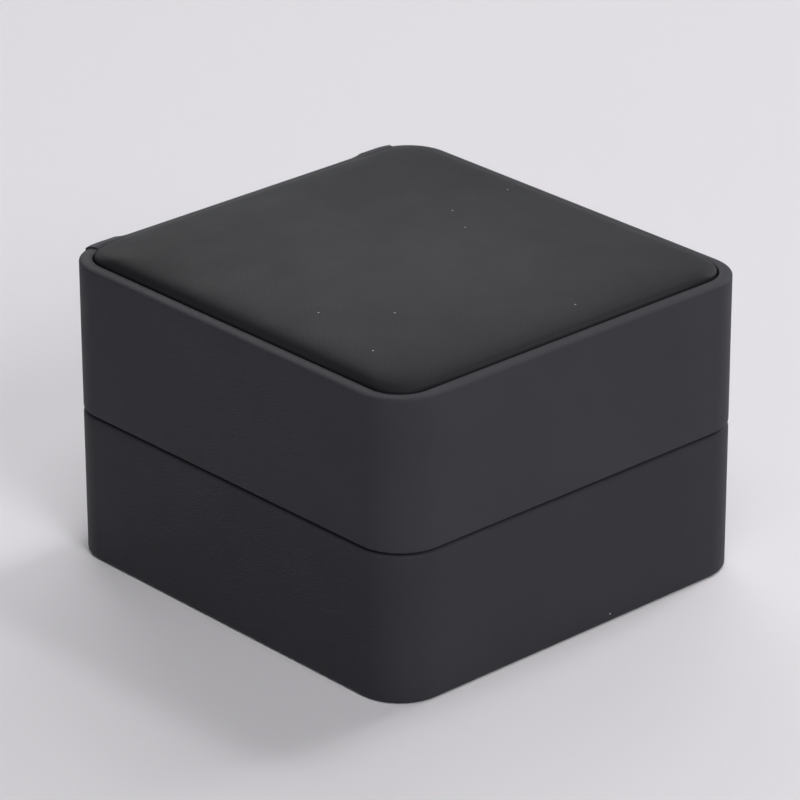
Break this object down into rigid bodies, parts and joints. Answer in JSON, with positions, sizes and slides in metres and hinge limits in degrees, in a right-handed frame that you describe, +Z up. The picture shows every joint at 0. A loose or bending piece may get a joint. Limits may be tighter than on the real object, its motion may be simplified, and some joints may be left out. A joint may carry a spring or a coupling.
{
  "type": "ring box",
  "caption": "Square leatherette ring box with a hinged lid, a padded top panel and a slotted velvet pad that holds a ring upright.",
  "frame": {"origin": "centre of the underside, at the height of the surface the box stands on", "axes": "+Z up, -Y towards the front, which opens, +Y towards the hinge, +X to the right of somebody who faces the front"},
  "size_m": [0.065, 0.068, 0.0458],
  "materials": {
    "leatherette": "matt black polyurethane leatherette with a very fine diagonal rib",
    "moulding": "black injection-moulded polystyrene",
    "card": "plain grey board, cut edges",
    "foam": "open-cell polyurethane foam",
    "velvet": "short-pile black velvet",
    "satin": "black woven satin",
    "flock": "black flocked paper",
    "plated": "nickel-plated steel strip"
  },
  "bodies": {
    "base": {"base_shell": "moulding", "base_wrap": "leatherette", "base_bottom_sheet": "flock", "base_liner": "velvet", "ring_pad_board": "card", "ring_foam_front": "foam", "ring_foam_back": "foam", "ring_pad_cover": "velvet", "hinge_leaf_base": "plated", "hinge_pin": "plated", "hinge_spring": "plated", "rear_cover": "leatherette", "hinge_rivet_base_left": "plated", "hinge_rivet_base_right": "plated", "hinge_rivet_spring": "plated"},
    "lid": {"lid_shell": "moulding", "lid_wrap": "leatherette", "lid_top_board": "card", "lid_top_foam": "foam", "lid_top_cover": "leatherette", "lid_liner": "velvet", "lid_pad_board": "card", "lid_pad_foam": "foam", "lid_pad_cover": "satin", "hinge_leaf_lid": "plated", "hinge_rivet_lid_left": "plated", "hinge_rivet_lid_right": "plated"}
  },
  "joints": [
    {"name": "lid_hinge", "type": "hinge", "parent": "base", "child": "lid", "pos_m": [0, 0.0321, 0.02165], "axis": [-1, 0, 0], "range_deg": [0, 100], "deforming": ["rear_cover", "hinge_spring"]}
  ]
}
